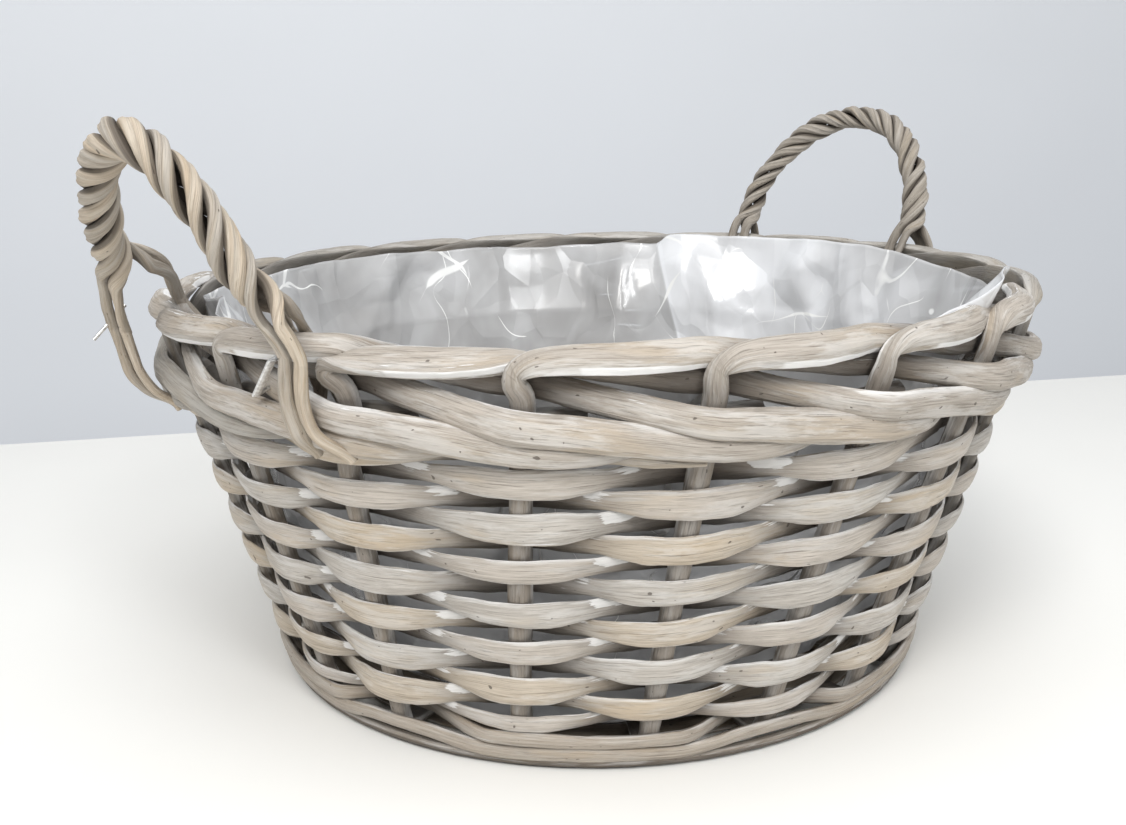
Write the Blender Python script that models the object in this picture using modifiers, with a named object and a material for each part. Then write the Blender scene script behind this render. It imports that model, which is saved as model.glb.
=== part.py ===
"""Round willow planter basket with two twisted ears and a plastic film liner.

The basket stands on the table at z = 0 with its axis on Z and its ears at -X and +X.
Nineteen split willow stakes rise from the base, lean out with the wall and are laid down
along the rim, where each one passes behind two stakes, in front of two and behind a fifth.
Flat willow strips are woven round the stakes in one rising spiral.
"""
import math

import bpy
from mathutils import Vector

# Whole basket, in metres. The rim and foot radii are those of the stakes' own middle line.
rim_radius = 0.157
foot_radius = 0.116
basket_height = 0.139
fit_gap = 0.0003

# Stakes: half-round split willow, flat side inwards.
stake_count = 19
stake_width = 0.0070
stake_depth = 0.0050
stake_slant = math.radians(5.5)
first_stake_turn = math.radians(-27.2)
leg_length = 0.0163

# Weaving strips of the wall.
strip_width = 0.0096
strip_thickness = 0.0022
strip_slack = 0.0004
spiral_rounds = 13
spiral_start = 4
strip_stakes = 24

# Foot: three thinner rods.
foot_rod_width = 0.0046

# Base.
stick_width = 0.0059
stick_gap = 0.0015
base_round_count = 6
base_round_thickness = 0.0020
base_round_gap = 0.0022
base_middle_radius = 0.0304
binding_width = 0.0120

# Ears: each is a rope of four split strands.
ear_half_span = 0.046
ear_rise = 0.055
ear_tuck = 0.037
strand_width = 0.0046
strand_spread = 0.0066
strand_standoff = 0.0010
rope_radius = 0.0042
rope_quarter_turns = 12
rope_neck = 0.0140
rope_steps = 22

# Liner of thin film.
film_thickness = 0.0003
film_tuck_down = 0.040
film_wall_down = 0.062

# Wire fixings of the ears.
wire_diameter = 0.0012
staple_leg = 0.0040
tack_length = 0.0140
staple_share = 0.58

# Half-round section, as shares of its width and depth, flat side at the top.
half_round_shares = ((0.5, 0.5), (0.42, -0.15), (0.0, -0.5), (-0.42, -0.15), (-0.5, 0.5))

wall_slant = math.atan2(rim_radius - foot_radius, basket_height)
wall_length = math.hypot(rim_radius - foot_radius, basket_height)
stake_spacing = 2 * math.pi / stake_count
profile_depth_share = stake_depth / stake_width
lay_offset = stake_depth + 2 * fit_gap

film_standoff = lay_offset + stake_depth / 2 + strand_standoff + strand_width + 2 * fit_gap
foot_rod_depth = foot_rod_width * profile_depth_share
foot_out = (stake_depth + foot_rod_depth) / 2 + fit_gap
stick_depth = stick_width * profile_depth_share
leg_height = foot_rod_depth + fit_gap + stake_depth / 2
leg_end_radius = foot_radius + leg_height * math.tan(wall_slant)
stick_height = foot_rod_depth + fit_gap + stick_depth / 2
stick_end = leg_end_radius - leg_length - stick_gap
foot_rod_up = foot_rod_width * math.cos(wall_slant)
foot_rod_lean = foot_rod_depth * math.sin(wall_slant)
foot_rod_top = max(x * foot_rod_up + y * foot_rod_lean for x, y in half_round_shares)
foot_rod_low = max(-x * foot_rod_up - y * foot_rod_lean for x, y in half_round_shares)
foot_middle_height = foot_rod_depth + fit_gap + foot_rod_low
foot_step = foot_rod_top + fit_gap + foot_rod_low + foot_out * math.sin(wall_slant)
foot_top_height = foot_middle_height + foot_step
weave_foot_height = foot_top_height + foot_rod_top + fit_gap

# Border path of one stake's tail: stakes passed, depth in stake widths, offset in lays outwards.
border_path_shares = (
    (0.00, 1.30, 0.0),
    (0.02, 0.95, 0.0),
    (0.07, 0.65, 0.0),
    (0.15, 0.50, 0.0),
    (0.45, 0.50, 0.0),
    (0.75, 0.50, 0.0),
    (0.93, 0.53, -1.0),
    (1.25, 0.80, -1.0),
    (1.55, 1.20, -1.0),
    (1.80, 1.55, -1.0),
    (2.07, 1.75, -1.0),
    (2.50, 2.25, 0.0),
    (2.93, 2.72, 1.0),
    (3.25, 2.97, 1.0),
    (3.60, 3.33, 1.0),
    (4.00, 3.80, 1.0),
    (4.22, 4.00, 0.95),
    (4.40, 4.12, 0.45),
    (4.60, 3.98, -0.20),
    (4.93, 3.50, -1.0),
    (5.35, 3.35, -1.0),
)
border_depth = 4.62 * stake_width

# Points of an ear's strand, as shares of its tucked length and of the neck above the crest.
strand_tail_shares = (0.0, 0.14, 0.6)
strand_neck_shares = (0.0, 0.35, 0.7)


def clear_scene():
    for item in list(bpy.data.objects):
        bpy.data.objects.remove(item, do_unlink=True)


def new_collection(name):
    collection = bpy.data.collections.new(name)
    bpy.context.scene.collection.children.link(collection)
    return collection


def new_material(name, colour, roughness, metallic=0.0):
    material = bpy.data.materials.new(name)
    material.use_nodes = True
    shader = material.node_tree.nodes["Principled BSDF"]
    shader.inputs["Base Color"].default_value = (*colour, 1.0)
    shader.inputs["Roughness"].default_value = roughness
    shader.inputs["Metallic"].default_value = metallic
    return material


def round_point(turn, down, out):
    """Point at an angle, a way down the slope from the crest and a way out of the wall."""
    radius = rim_radius - down * math.sin(wall_slant) + out * math.cos(wall_slant)
    height = basket_height - down * math.cos(wall_slant) - out * math.sin(wall_slant)
    return Vector((radius * math.cos(turn), radius * math.sin(turn), height))


def stake_turn(place, down):
    """Angle of a stake, counted in stakes from the first, at a depth below the crest."""
    return first_stake_turn + place * stake_spacing - stake_slant * down / wall_length


def wall_point(place, down, out):
    return round_point(stake_turn(place, down), down, out)


def polar_point(turn, radius, height):
    return Vector((radius * math.cos(turn), radius * math.sin(turn), height))


def depth_at(height):
    """Way down the slope of the stakes' middle line at a height above the table."""
    return (basket_height - height) / math.cos(wall_slant)


def add_object(name, data, material, collection):
    item = bpy.data.objects.new(name, data)
    item.data.materials.append(material)
    collection.objects.link(item)
    return item


def new_path(name, points, closed=False):
    curve = bpy.data.curves.new(name, "CURVE")
    curve.dimensions = "3D"
    curve.render_resolution_u = 0
    spline = curve.splines.new("POLY")
    spline.points.add(len(points) - 1)
    for knot, point in zip(spline.points, points):
        knot.co = (*point, 1.0)
    spline.use_cyclic_u = closed
    return curve, spline


def half_round_guide(collection):
    """Section that every split rod is drawn with."""
    curve, spline = new_path("half_round_section", [
        (x * stake_width, y * stake_depth, 0.0) for x, y in half_round_shares], closed=True)
    curve.dimensions = "2D"
    guide = bpy.data.objects.new("half_round_section", curve)
    guide.hide_render = True
    guide.display_type = "WIRE"
    collection.objects.link(guide)
    return guide


def split_rod(name, points, width, tilt, guide, material, collection, closed=False):
    """Half-round rod along a path, its flat side turned by the tilt."""
    curve, spline = new_path(name, points, closed)
    curve.twist_mode = "MINIMUM"
    curve.bevel_mode = "OBJECT"
    curve.bevel_object = guide
    curve.use_fill_caps = not closed
    for knot in spline.points:
        knot.radius = width / stake_width
        knot.tilt = tilt
    return add_object(name, curve, material, collection)


def flat_strip(name, points, widths, thickness, tilt, material, collection, closed=False):
    """Flat strip along a path: a ribbon given its thickness."""
    curve, spline = new_path(name, points, closed)
    curve.twist_mode = "Z_UP"
    curve.extrude = strip_width / 2
    for knot, width in zip(spline.points, widths):
        knot.radius = width / strip_width
        knot.tilt = tilt
    item = add_object(name, curve, material, collection)
    wall = item.modifiers.new("thickness", "SOLIDIFY")
    wall.thickness = thickness
    wall.offset = 0.0
    return item


def build_stakes(guide, material, collection):
    """Each stake: a short leg in the base, the upright, and its tail laid into the border."""
    kink = foot_rod_width / 2
    for number in range(stake_count):
        foot_turn = stake_turn(number, wall_length)
        points = [
            polar_point(foot_turn, leg_end_radius - leg_length, leg_height),
            polar_point(foot_turn, leg_end_radius - kink, leg_height),
            wall_point(number, depth_at(leg_height + kink), 0.0),
            wall_point(number, (depth_at(leg_height) + border_depth) / 2, 0.0),
            wall_point(number, border_depth, 0.0),
        ]
        for passed, depth_share, lay_share in border_path_shares:
            points.append(wall_point(number + passed, depth_share * stake_width,
                                     lay_share * lay_offset))
        split_rod(f"stake_{number + 1:02d}", points, stake_width, 0.0, guide, material, collection)


def strip_centre(place, weave_foot, pitch):
    """Depth and free width of the spiral at a place counted in stakes from its start.

    The first round grows from nothing on the level foot and the last one runs out
    under the level border, as a weaver's tapered ends do.
    """
    last = stake_count * spiral_rounds
    lower = max(place - stake_count, 0) / stake_count
    upper = min(place, last) / stake_count
    return weave_foot - pitch * (lower + upper) / 2, pitch * (upper - lower)


def build_weavers(material, collection):
    """Flat strips laid end to end, in front of one stake and behind the next."""
    weave_foot = depth_at(weave_foot_height)
    pitch = (weave_foot - border_depth - fit_gap) / spiral_rounds
    weave_offset = (stake_depth + strip_thickness) / 2 + fit_gap
    last = stake_count * (spiral_rounds + 1) - spiral_start - 1
    start = spiral_start
    number = 1
    while start < last:
        end = min(start + strip_stakes, last)
        points = []
        widths = []
        for stake in range(start, end + 1):
            down, free = strip_centre(stake, weave_foot, pitch)
            reach = (stake_width + strip_thickness) / 2 / (rim_radius - down * math.sin(wall_slant))
            side = 1 if stake % 2 else -1
            near, far = stake - reach / stake_spacing, stake + reach / stake_spacing
            trim = fit_gap / rim_radius / stake_spacing
            full = min(strip_width, free - fit_gap) if side > 0 else free - strip_slack
            places = [(near, side, full), (far, side, full)]
            if stake == start:
                places[0] = (stake + trim, side, full)
            if stake == end:
                places[1] = (stake - trim, side, full)
            else:
                places.append((stake + 0.5, 0, None))
            for place, lay, width in places:
                down, free = strip_centre(place, weave_foot, pitch)
                points.append(wall_point(place, down, lay * weave_offset))
                widths.append(free - strip_slack if width is None else width)
        flat_strip(f"weaver_{number:02d}", points, widths, strip_thickness, wall_slant,
                   material, collection)
        start = end
        number += 1


def build_foot(guide, material, collection):
    """A flat rod to stand on, a plain one over it and a woven one above."""
    upright = wall_slant - math.pi / 2
    steps = 2 * stake_count
    first_turn = stake_turn(0, wall_length)
    ring_radius = foot_radius + foot_out
    flat_points = [polar_point(first_turn + step * stake_spacing / 2, ring_radius,
                               foot_rod_depth / 2) for step in range(steps)]
    split_rod("foot_round_1", flat_points, foot_rod_width, math.pi, guide, material,
              collection, closed=True)
    down = depth_at(foot_middle_height) - foot_out * math.tan(wall_slant)
    plain_points = [wall_point(step / 2, down, foot_out) for step in range(steps)]
    split_rod("foot_round_2", plain_points, foot_rod_width, upright, guide, material, collection,
              closed=True)
    down = depth_at(foot_top_height)
    reach = (stake_width + foot_rod_depth) / 2 / foot_radius / stake_spacing
    woven_points = []
    for stake in range(stake_count):
        side = -1 if stake % 3 == 0 and stake < stake_count - 1 else 1
        woven_points.append(wall_point(stake - reach, down, side * foot_out))
        woven_points.append(wall_point(stake + reach, down, side * foot_out))
    split_rod("foot_round_3", woven_points, foot_rod_width, upright, guide, material, collection,
              closed=True)


def build_base(guide, material, collection):
    """Three sticks under two, opened out like spokes, with flat strips woven round them."""
    spoke = math.pi / 5
    cross_height = stick_height + stick_depth + fit_gap
    row = stick_width + 7 * fit_gap
    bend_x = row / math.tan(spoke)
    plain = [(-stick_end, 0.0), (0.0, 0.0), (stick_end, 0.0)]
    sticks = [[Vector((x, y, stick_height)) for x, y in plain]]
    for side in (1, -1):
        sticks.append([
            Vector((-stick_end * math.cos(spoke), side * stick_end * math.sin(spoke), stick_height)),
            Vector((-bend_x, side * row, stick_height)),
            Vector((bend_x, side * row, stick_height)),
            Vector((stick_end * math.cos(spoke), side * stick_end * math.sin(spoke), stick_height)),
        ])
    top_row = row + stick_width / 2 + stick_depth
    drop = top_row + 2 * stick_depth
    column = drop * math.tan(spoke / 2)
    for side in (1, -1):
        lean = (side * stick_end * math.sin(spoke / 2), stick_end * math.cos(spoke / 2))
        sticks.append([
            Vector((lean[0], -lean[1], stick_height)),
            Vector((side * column, -drop, stick_height)),
            Vector((side * column, -top_row, cross_height)),
            Vector((side * column, top_row, cross_height)),
            Vector((side * column, drop, stick_height)),
            Vector((lean[0], lean[1], stick_height)),
        ])
    for number, points in enumerate(sticks, 1):
        split_rod(f"base_stick_{number}", points, stick_width, 0.0,
                  guide, material, collection)
    wave = (stick_depth + base_round_thickness) / 2 + fit_gap
    binding_radius = stick_end + binding_width / 4
    room = binding_radius - binding_width / 2 - strip_slack - base_middle_radius
    round_step = (room + base_round_gap) / base_round_count
    round_width = round_step - base_round_gap
    for number in range(base_round_count):
        radius = base_middle_radius + round_width / 2 + number * round_step
        reach = (stick_width + base_round_thickness) / 2 / radius
        points = []
        for end in range(10):
            side = 1 if (end + number) % 2 else -1
            for turn in (end * spoke - reach, end * spoke + reach):
                points.append(polar_point(turn, radius, stick_height + side * wave))
        flat_strip(f"base_round_{number + 1}", points, [round_width] * len(points),
                   base_round_thickness, math.pi / 2, material, collection, closed=True)
    leg_gap = stake_depth / 2 + base_round_thickness / 2 + fit_gap
    for name, height in (("base_binding_under", leg_height - leg_gap),
                         ("base_binding_over", leg_height + leg_gap)):
        points = [polar_point(step * stake_spacing / 2, binding_radius, height)
                  for step in range(2 * stake_count)]
        flat_strip(name, points, [binding_width] * len(points), base_round_thickness,
                   math.pi / 2, material, collection, closed=True)


def ear_place(way):
    """Sideways place and depth of an ear's middle line at a way along it from one tip."""
    quarter = math.pi * (ear_half_span + ear_rise) / 4
    if way < ear_tuck:
        return ear_half_span, ear_tuck - way
    if way > ear_tuck + 2 * quarter:
        return -ear_half_span, way - ear_tuck - 2 * quarter
    swing = (way - ear_tuck) / quarter * math.pi / 2
    return ear_half_span * math.cos(swing), -ear_rise * math.sin(swing)


def ease(share):
    share = min(max(share, 0.0), 1.0)
    return share * share * (3 - 2 * share)


def strand_ways(whole, rope_start):
    """Ways along an ear at which a strand has its points, close together in the rope."""
    tail = [ear_tuck * share for share in strand_tail_shares]
    neck = [ear_tuck + rope_neck * share for share in strand_neck_shares]
    rope = whole - 2 * rope_start
    middle = [rope_start + rope * step / rope_steps for step in range(rope_steps + 1)]
    start = tail + neck
    return start + middle + [whole - way for way in reversed(start)]


def build_ears(material, collection):
    """Four strands to each ear: two go down outside the border and two inside it."""
    whole = math.pi * (ear_half_span + ear_rise) / 2 + 2 * ear_tuck
    rope_start = ear_tuck + rope_neck
    border_out = lay_offset + stake_depth / 2 + strand_standoff + strand_width / 2
    tip_out = stake_depth / 2 + strip_thickness + 2 * fit_gap + strand_width / 2
    tip_inset = ear_tuck - border_depth
    for name, middle in (("left", math.pi), ("right", 0.0)):
        for strand in range(4):
            points = []
            for way in strand_ways(whole, rope_start):
                side_way, down = ear_place(way)
                ahead_way, ahead_down = ear_place(way + fit_gap)
                here = round_point(middle + side_way / rim_radius, down, 0.0)
                ahead = round_point(middle + ahead_way / rim_radius, ahead_down, 0.0)
                out_of_wall = round_point(middle + side_way / rim_radius, down, 1.0) - here
                across = (ahead - here).normalized().cross(out_of_wall)
                inset = min(way, whole - way)
                twist_share = min(max((way - rope_start) / (whole - 2 * rope_start), 0.0), 1.0)
                angle = math.pi / 2 * (strand + 0.5 + rope_quarter_turns * twist_share)
                foot_share = 1 - ease((inset - ear_tuck) / rope_neck)
                tip_share = 1 - ease(inset / tip_inset)
                leg_out = border_out + tip_share * (tip_out - border_out)
                rope_out = rope_radius * math.cos(angle)
                rope_over = rope_radius * math.sin(angle)
                leg_over = math.copysign(strand_spread / 2, rope_over)
                out = rope_out + foot_share * (math.copysign(leg_out, rope_out) - rope_out)
                over = rope_over + foot_share * (leg_over - rope_over)
                points.append(here + out * out_of_wall + over * across)
            curve, spline = new_path(f"ear_{name}_strand_{strand + 1}", points)
            curve.bevel_depth = strand_width / 2
            curve.bevel_resolution = 1
            curve.use_fill_caps = True
            add_object(f"ear_{name}_strand_{strand + 1}", curve, material, collection)


def build_liner(material, collection):
    """Film bag: a flat bottom on the base sticks and a wall that stands in from the border."""
    cross_top = stick_height + 1.5 * stick_depth + fit_gap
    bottom_height = cross_top + fit_gap + film_thickness / 2
    weave_out = stake_depth / 2 + strip_thickness + 2 * fit_gap + film_thickness / 2
    low_out = foot_out + foot_rod_depth / 2 + 3 * fit_gap + film_thickness / 2
    profile = [round_point(0.0, 0.0, -film_standoff),
               round_point(0.0, film_tuck_down, -film_standoff),
               round_point(0.0, film_wall_down, -weave_out)]
    low = round_point(0.0, depth_at(bottom_height), -low_out)
    profile.append(Vector((low.x, 0.0, bottom_height)))
    profile.append(Vector((0.0, 0.0, bottom_height)))
    mesh = bpy.data.meshes.new("film_liner")
    mesh.from_pydata(profile, [(i, i + 1) for i in range(len(profile) - 1)], [])
    liner = add_object("film_liner", mesh, material, collection)
    turn = liner.modifiers.new("turn", "SCREW")
    turn.steps = 2 * stake_count
    turn.render_steps = 2 * stake_count
    turn.use_merge_vertices = True
    turn.merge_threshold = 0.00005
    turn.use_smooth_shade = True
    wall = liner.modifiers.new("film", "SOLIDIFY")
    wall.thickness = film_thickness
    wall.offset = 0.0


def build_fixings(material, collection):
    """A staple over the top rod beside one foot of each ear, and a tack in the other foot."""
    wire = wire_diameter / 2
    staple_out = stake_depth / 2 + fit_gap + wire
    top = -fit_gap - wire
    low = stake_width + fit_gap + wire
    tack_turn = ear_half_span / rim_radius
    tack_down = 2.6 * stake_width
    for name, middle, beside in (("left", math.pi, 11), ("right", 0.0, 2)):
        place = beside + staple_share
        points = [wall_point(place, top, staple_out - staple_leg),
                  wall_point(place, top, staple_out),
                  wall_point(place, low, staple_out),
                  wall_point(place, low, staple_out - staple_leg)]
        curve, spline = new_path(f"staple_{name}", points)
        curve.bevel_depth = wire
        curve.bevel_resolution = 1
        curve.use_fill_caps = True
        add_object(f"staple_{name}", curve, material, collection)
        tack_foot = lay_offset + stake_depth / 2 + fit_gap
        start = round_point(middle - tack_turn, tack_down, tack_foot)
        end = round_point(middle - tack_turn, tack_down, tack_foot + tack_length)
        bpy.ops.mesh.primitive_cylinder_add(vertices=8, radius=wire, depth=tack_length)
        tack = bpy.context.active_object
        tack.name = f"tack_{name}"
        tack.location = (start + end) / 2
        tack.rotation_mode = "QUATERNION"
        tack.rotation_quaternion = (end - start).to_track_quat("Z", "Y")
        tack.data.materials.append(material)
        for owner in list(tack.users_collection):
            owner.objects.unlink(tack)
        collection.objects.link(tack)


def build_basket():
    clear_scene()
    parts = new_collection("planter_basket")
    guides = new_collection("guides")
    guide = half_round_guide(guides)
    stake_willow = new_material("stake_willow", (0.47, 0.42, 0.36), 0.75)
    strip_willow = new_material("strip_willow", (0.52, 0.48, 0.43), 0.75)
    foot_willow = new_material("foot_willow", (0.40, 0.34, 0.27), 0.8)
    base_willow = new_material("base_willow", (0.38, 0.33, 0.27), 0.8)
    ear_willow = new_material("ear_willow", (0.45, 0.36, 0.27), 0.7)
    film = new_material("liner_film", (0.80, 0.82, 0.84), 0.25)
    wire = new_material("fixing_wire", (0.62, 0.62, 0.62), 0.35, 1.0)
    build_stakes(guide, stake_willow, parts)
    build_weavers(strip_willow, parts)
    build_foot(guide, foot_willow, parts)
    build_base(guide, base_willow, parts)
    build_ears(ear_willow, parts)
    build_liner(film, parts)
    build_fixings(wire, parts)


build_basket()
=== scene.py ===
"""Looks of the willow planter basket: washed willow, twisted ears, film liner and the scene."""
from math import atan2, copysign, cos, hypot, pi, radians, sin, tan
from types import SimpleNamespace

import bpy
import numpy as np
from mathutils import Matrix, Vector, noise


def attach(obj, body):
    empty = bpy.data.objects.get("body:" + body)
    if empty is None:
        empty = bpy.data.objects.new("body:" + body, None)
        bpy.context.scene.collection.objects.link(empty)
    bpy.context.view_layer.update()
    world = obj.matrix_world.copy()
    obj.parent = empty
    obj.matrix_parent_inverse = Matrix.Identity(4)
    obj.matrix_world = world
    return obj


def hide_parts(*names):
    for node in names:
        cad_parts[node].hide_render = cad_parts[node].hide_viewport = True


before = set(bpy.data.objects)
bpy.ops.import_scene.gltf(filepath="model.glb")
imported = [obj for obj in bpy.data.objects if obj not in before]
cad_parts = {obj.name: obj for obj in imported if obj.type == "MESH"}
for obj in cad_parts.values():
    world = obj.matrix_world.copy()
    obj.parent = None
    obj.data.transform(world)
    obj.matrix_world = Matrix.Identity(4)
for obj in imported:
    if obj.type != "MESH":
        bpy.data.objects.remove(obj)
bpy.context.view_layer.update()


# Camera: it stands a little above the rim, in front and to the left, and looks down at the basket.
view_distance = 0.4565
view_height = 0.1961
view_turn = radians(-134.6)
view_down = 0.2393
view_yaw = -0.0258
view_roll = -0.020
view_lens = 38.29

away = Vector((-cos(view_turn), -sin(view_turn), 0))
aside = Vector((-sin(view_turn), cos(view_turn), 0))
level = away * cos(view_yaw) + aside * sin(view_yaw)
right = aside * cos(view_yaw) - away * sin(view_yaw)
ahead = level * cos(view_down) - Vector((0, 0, sin(view_down)))
upward = level * sin(view_down) + Vector((0, 0, cos(view_down)))
camera_x = right * cos(view_roll) + upward * sin(view_roll)
camera_y = upward * cos(view_roll) - right * sin(view_roll)


def new_object(name, data):
    made = bpy.data.objects.new(name, data)
    bpy.context.scene.collection.objects.link(made)
    return made


camera = new_object("camera", bpy.data.cameras.new("camera"))
camera.data.lens = view_lens
camera.data.sensor_fit = "HORIZONTAL"
camera.data.clip_start = 0.01
placed = Matrix((camera_x, camera_y, -ahead)).transposed().to_4x4()
placed.translation = Vector((-away.x * view_distance, -away.y * view_distance, view_height))
camera.matrix_world = placed
bpy.context.scene.camera = camera


# Split willow: a rod or strip swept along its path. The path is a row of points that carry the
# way out of the wall, the width, the depth, a twist and the painted shade where the piece lies deep
# in the weave.
class Value:
    """What a node gives. Plain arithmetic on it adds the nodes that work out the result."""

    def __init__(self, tree, socket):
        self.tree = tree
        self.socket = socket

    def __add__(self, other):
        return combine("ADD", self, other)

    def __sub__(self, other):
        return combine("SUBTRACT", self, other)

    def __rsub__(self, other):
        return combine("SUBTRACT", other, self)

    def __mul__(self, other):
        return combine("MULTIPLY", self, other)

    def __truediv__(self, other):
        return combine("DIVIDE", self, other)

    def __abs__(self):
        return combine("ABSOLUTE", self)

    __radd__ = __add__
    __rmul__ = __mul__


def fill(node, inputs):
    """Sets or links a node's inputs."""
    for name, value in inputs.items():
        if isinstance(value, Value):
            value.tree.links.new(value.socket, node.inputs[name])
        else:
            node.inputs[name].default_value = value


def given_by(tree, kind, inputs=(), output=0, **settings):
    """One output of a new node: a geometry node by its whole name, any other by its short one."""
    node = tree.nodes.new(kind if kind.startswith("Geometry") else f"ShaderNode{kind}")
    for name, value in settings.items():
        setattr(node, name, value)
    fill(node, dict(inputs))
    return Value(tree, node.outputs[output])


def tree_of(values):
    return next(value.tree for value in values if isinstance(value, Value))


def combine(operation, *values):
    """One Math node."""
    return given_by(tree_of(values), "Math", dict(enumerate(values)), operation=operation)


def highest(first, *others):
    """The largest of some values."""
    return combine("MAXIMUM", first, highest(*others)) if others else first


def vectors(operation, *values):
    """One Vector Math node."""
    places = (0, 3) if operation == "SCALE" else range(len(values))
    return given_by(tree_of(values), "VectorMath", dict(zip(places, values)), operation=operation)


def axes(*values):
    """A vector from its three numbers."""
    return given_by(tree_of(values), "CombineXYZ", dict(enumerate(values)))


def between(value, low, high):
    """Smooth step of a value from one limit to the other."""
    return given_by(value.tree, "MapRange", {"Value": value, "From Min": low, "From Max": high},
                    interpolation_type="SMOOTHSTEP")


def fading(value, low, high):
    """Smooth step down."""
    return 1.0 - between(value, low, high)


def clouds(place, scale, detail=2.0, roughness=0.5, distortion=0.0, output=0):
    """Noise at a place."""
    inputs = {"Vector": place, "Scale": scale, "Detail": detail, "Roughness": roughness,
              "Distortion": distortion}
    return given_by(place.tree, "TexNoise", inputs, output)


def new_tree(name, sockets):
    """Geometry node group: its end, and the functions that add its nodes and read its inputs."""
    tree = bpy.data.node_groups.new(name, "GeometryNodeTree")
    tree.interface.new_socket("Path", in_out="INPUT", socket_type="NodeSocketGeometry")
    tree.interface.new_socket("Piece", in_out="OUTPUT", socket_type="NodeSocketGeometry")
    for label, kind, value in sockets:
        socket = tree.interface.new_socket(label, in_out="INPUT", socket_type=f"NodeSocket{kind}")
        if value is not None:
            socket.default_value = value
    given = tree.nodes.new("NodeGroupInput")

    def inlet(label):
        return Value(tree, given.outputs[label])

    def made(kind, inputs=(), **settings):
        return given_by(tree, f"GeometryNode{kind}", inputs, **settings)

    return tree.nodes.new("NodeGroupOutput"), inlet, made


def numbered_grid(made, rows, columns):
    """Grid of points with the row and column of each."""
    grid = made("MeshGrid", {"Size X": 1.0, "Size Y": 1.0, "Vertices X": rows, "Vertices Y": columns})
    index = made("InputIndex")
    row = combine("FLOOR", (index + 0.5) / columns)
    return grid, row, index - row * columns


def dressed(piece, material, done):
    """End of a tree: the piece is made real and gets its material."""
    piece = given_by(piece.tree, "GeometryNodeRealizeInstances", {"Geometry": piece})
    piece = given_by(piece.tree, "GeometryNodeSetMaterial", {"Geometry": piece, "Material": material})
    fill(done, {"Piece": piece})
    return piece.tree


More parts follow.
